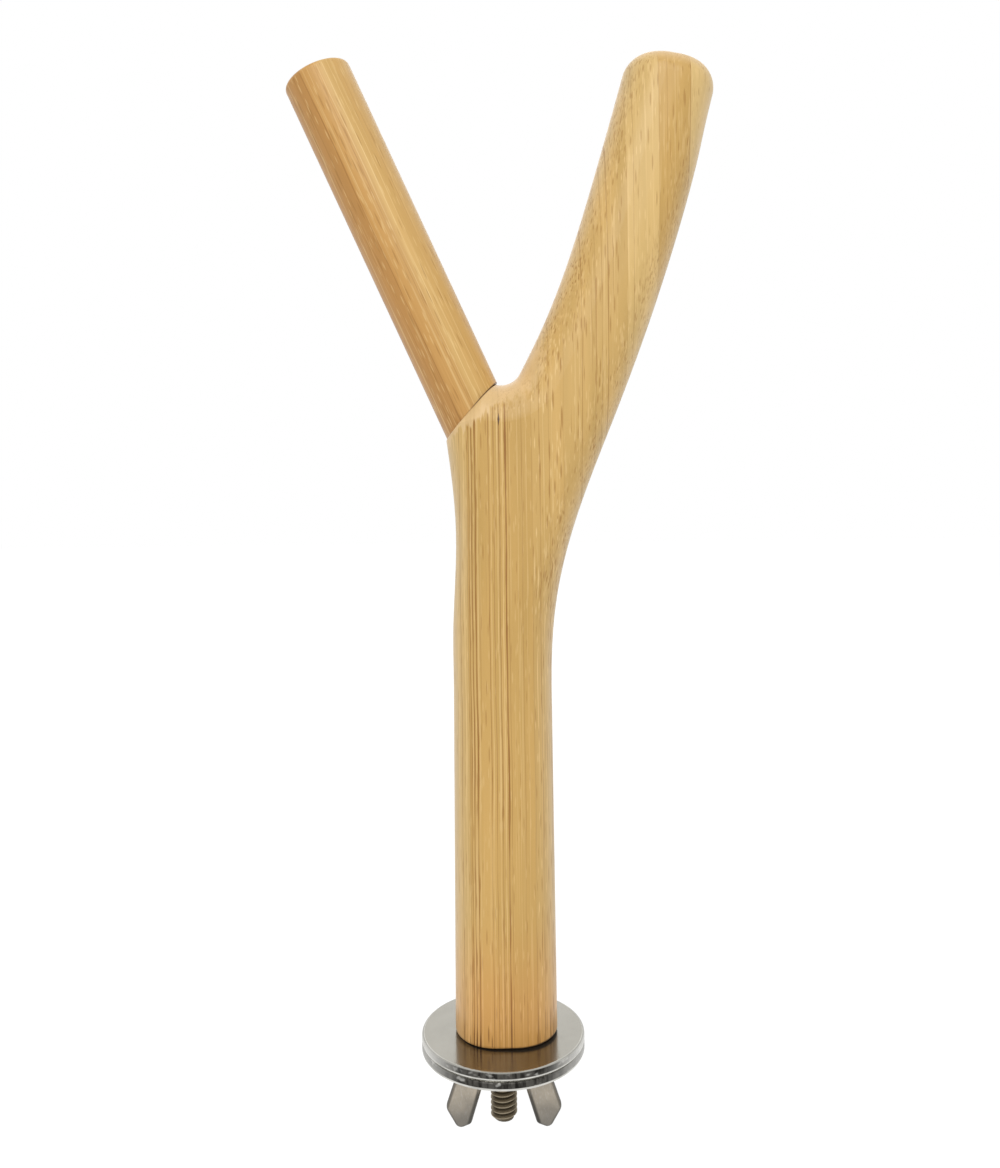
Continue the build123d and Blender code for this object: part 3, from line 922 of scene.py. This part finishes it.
class PERCH_OT_dress_fork(bpy.types.Operator):
    """Give each strip of the fork its own bamboo"""

    bl_idname = "perch.dress_fork"
    bl_label = "Dress fork"

    def execute(self, context):
        for number, recipe in enumerate(STRIPS, start=1):
            dress(f"bamboo_strip_{number}", strip_material(context.scene.perch_bamboo, number, recipe))
        return {"FINISHED"}


class PERCH_OT_dress_dowel(bpy.types.Operator):
    """Give the dowel arm and the peg in its joint their bamboo"""

    bl_idname = "perch.dress_dowel"
    bl_label = "Dress dowel arm"

    def execute(self, context):
        material = dowel_material(context.scene.perch_bamboo)
        dress("dowel_arm", material)
        dress("arm_peg", material)
        return {"FINISHED"}


class PERCH_OT_make_stud(bpy.types.Operator):
    """Make the stud with its wound machine thread and wood thread"""

    bl_idname = "perch.make_stud"
    bl_label = "Make stud"

    def execute(self, context):
        sizes = context.scene.perch_stud
        machine_low, machine_high = bolt_low.z + STUD_CHAMFER, washer_high.z - MACHINE_RUN_OUT
        wood_low, wood_high = washer_high.z + SHANK_LENGTH, bolt_high.z - POINT_LENGTH
        threads = bmesh.new()
        wind_thread(
            threads, sizes.radius, sizes.machine_depth, sizes.machine_pitch,
            machine_low, machine_high, sizes.steps,
        )
        wood = bmesh.new()
        wind_thread(
            wood, sizes.radius, sizes.wood_depth, sizes.wood_pitch,
            wood_low, wood_high, sizes.steps,
        )
        passing = bpy.data.meshes.new("wood thread")
        wood.to_mesh(passing)
        wood.free()
        threads.from_mesh(passing)
        bpy.data.meshes.remove(passing)
        end = draw_in(threads, open_loop(threads, machine_low), sizes.radius - STUD_CHAMFER, bolt_low.z)
        bmesh.ops.edgeloop_fill(threads, edges=end)
        point = draw_in(threads, open_loop(threads, wood_high), POINT_RADIUS, bolt_high.z)
        bmesh.ops.edgeloop_fill(threads, edges=point)
        shank_low = draw_in(threads, open_loop(threads, machine_high), sizes.radius, washer_high.z)
        shank_high = draw_in(threads, open_loop(threads, wood_low), sizes.radius, wood_low - WOOD_RUN_OUT)
        bmesh.ops.bridge_loops(threads, edges=shank_low + shank_high)
        bmesh.ops.recalc_face_normals(threads, faces=threads.faces[:])
        for face in threads.faces:
            face.smooth = True
        for edge in threads.edges:
            edge.smooth = edge.calc_face_angle(0.0) < CREASE_ANGLE
        material = stud_material(context.scene.perch_steel, sizes.radius, sizes.machine_depth)
        stud = new_piece("wound_stud", threads, material, "perch")
        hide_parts("hanger_bolt")
        return {"FINISHED"}


class PERCH_OT_dress_washers(bpy.types.Operator):
    """Give the two washers their polished steel"""

    bl_idname = "perch.dress_washers"
    bl_label = "Dress washers"

    def execute(self, context):
        material = washer_material(context.scene.perch_steel)
        dress("inner_washer", material)
        dress("outer_washer", material)
        return {"FINISHED"}


class PERCH_OT_dress_wing_nut(bpy.types.Operator):
    """Give the wing nut its tumbled steel"""

    bl_idname = "perch.dress_wing_nut"
    bl_label = "Dress wing nut"

    def execute(self, context):
        dress("wing_nut", nut_material(context.scene.perch_steel))
        return {"FINISHED"}


class PERCH_OT_make_stage(bpy.types.Operator):
    """Set the camera, the pale floor and the soft light"""

    bl_idname = "perch.make_stage"
    bl_label = "Make stage"

    def execute(self, context):
        stage = context.scene.perch_stage
        scene = context.scene
        scene.view_settings.view_transform = "Standard"
        lens = bpy.data.cameras.new("camera")
        lens.sensor_width = SENSOR_MM
        lens.lens = stage.focal_length
        lens.shift_y = stage.shift
        lens.clip_start, lens.clip_end = 0.01, 50.0
        camera = bpy.data.objects.new("camera", lens)
        camera.location = (stage.camera_side, -stage.camera_distance, stage.camera_height)
        camera.rotation_euler = (math.pi / 2, stage.camera_roll, 0.0)
        scene.collection.objects.link(camera)
        scene.camera = camera
        self.lay_floor(scene, stage)
        self.light_world(scene, stage)
        self.hang_lamp(scene, "key lamp", *KEY_LAMP, stage.key_power)
        self.hang_lamp(scene, "back lamp", *BACK_LAMP, stage.back_power)
        return {"FINISHED"}

    def lay_floor(self, scene, stage):
        """A pale floor that looks white to the camera and in reflections, and keeps the shadow.

        It lies low enough for the wing nut to run down to the end of its travel.
        """
        bm = bmesh.new()
        bmesh.ops.create_grid(bm, x_segments=1, y_segments=1, size=stage.floor_size / 2)
        bmesh.ops.translate(bm, verts=bm.verts[:], vec=(0, 0, cad_low.z - NUT_TRAVEL - FLOOR_GAP))
        mesh = bpy.data.meshes.new("floor")
        bm.to_mesh(mesh)
        bm.free()
        material = bpy.data.materials.new("pale floor")
        material.use_nodes = True
        n = Nodes(material.node_tree)
        material.node_tree.nodes.remove(material.node_tree.nodes["Principled BSDF"])
        matt = n.add("BsdfDiffuse", rgba(FLOOR_GREY)).outputs[0]
        thin = n.add("BsdfDiffuse", rgba(FLOOR_SHADE)).outputs[0]
        glow = n.add("Emission", rgba(WHITE), FLOOR_GLOW).outputs[0]
        shown = n.add("AddShader", thin, glow).outputs[0]
        mixed = n.add("MixShader", self.seen_share(n), matt, shown).outputs[0]
        n.put(material.node_tree.nodes["Material Output"].inputs["Surface"], mixed)
        mesh.materials.append(material)
        floor = bpy.data.objects.new("floor", mesh)
        scene.collection.objects.link(floor)

    def seen_share(self, n):
        """1 for what the camera sees directly, in a reflection or through glass."""
        path = n.add("LightPath")
        either = n.math("MAXIMUM", path.outputs["Is Camera Ray"], path.outputs["Is Glossy Ray"])
        return n.math("MAXIMUM", either, path.outputs["Is Transmission Ray"])

    def light_world(self, scene, stage):
        """Even light from all round, which looks white behind the object."""
        world = bpy.data.worlds.new("white room")
        world.use_nodes = True
        n = Nodes(world.node_tree)
        background = world.node_tree.nodes["Background"]
        background.inputs["Color"].default_value = rgba(WHITE)
        n.put(background.inputs["Strength"], n.between(self.seen_share(n), 0.0, 1.0, stage.ambient, 1.0))
        scene.world = world

    def hang_lamp(self, scene, name, place, size, power):
        """A round lamp that looks at the middle of the perch and is not seen itself."""
        lamp = bpy.data.lights.new(name, "AREA")
        lamp.shape = "DISK"
        lamp.size = size
        lamp.energy = power
        hung = bpy.data.objects.new(name, lamp)
        hung.location = place
        aim = (cad_low + cad_high) / 2 - Vector(place)
        hung.rotation_euler = aim.to_track_quat("-Z", "Y").to_euler()
        hung.visible_camera = False
        scene.collection.objects.link(hung)


class PERCH_PT_panel(bpy.types.Panel):
    """The perch's sizes, colours and operators"""

    bl_idname = "PERCH_PT_panel"
    bl_label = "Bird perch"
    bl_space_type = "VIEW_3D"
    bl_region_type = "UI"
    bl_category = "Perch"

    def draw(self, context):
        for operator in OPERATORS:
            self.layout.operator(operator.bl_idname)
        for label, kind in SETTINGS.items():
            box = self.layout.box()
            box.label(text=kind.__doc__)
            for name in kind.__annotations__:
                box.prop(getattr(context.scene, label), name)


SETTINGS = {
    "perch_bamboo": PerchBamboo,
    "perch_steel": PerchSteel,
    "perch_stud": PerchStud,
    "perch_stage": PerchStage,
}
OPERATORS = (
    PERCH_OT_dress_fork,
    PERCH_OT_dress_dowel,
    PERCH_OT_make_stud,
    PERCH_OT_dress_washers,
    PERCH_OT_dress_wing_nut,
    PERCH_OT_make_stage,
)


def register():
    for kind in (*SETTINGS.values(), *OPERATORS, PERCH_PT_panel):
        bpy.utils.register_class(kind)
    for label, kind in SETTINGS.items():
        setattr(bpy.types.Scene, label, PointerProperty(type=kind))


def unregister():
    for label in SETTINGS:
        delattr(bpy.types.Scene, label)
    for kind in reversed((*SETTINGS.values(), *OPERATORS, PERCH_PT_panel)):
        bpy.utils.unregister_class(kind)


def main():
    register()
    bpy.ops.perch.dress_fork()
    bpy.ops.perch.dress_dowel()
    bpy.ops.perch.make_stud()
    bpy.ops.perch.dress_washers()
    bpy.ops.perch.dress_wing_nut()
    bpy.ops.perch.make_stage()


if __name__ == "__main__":
    main()
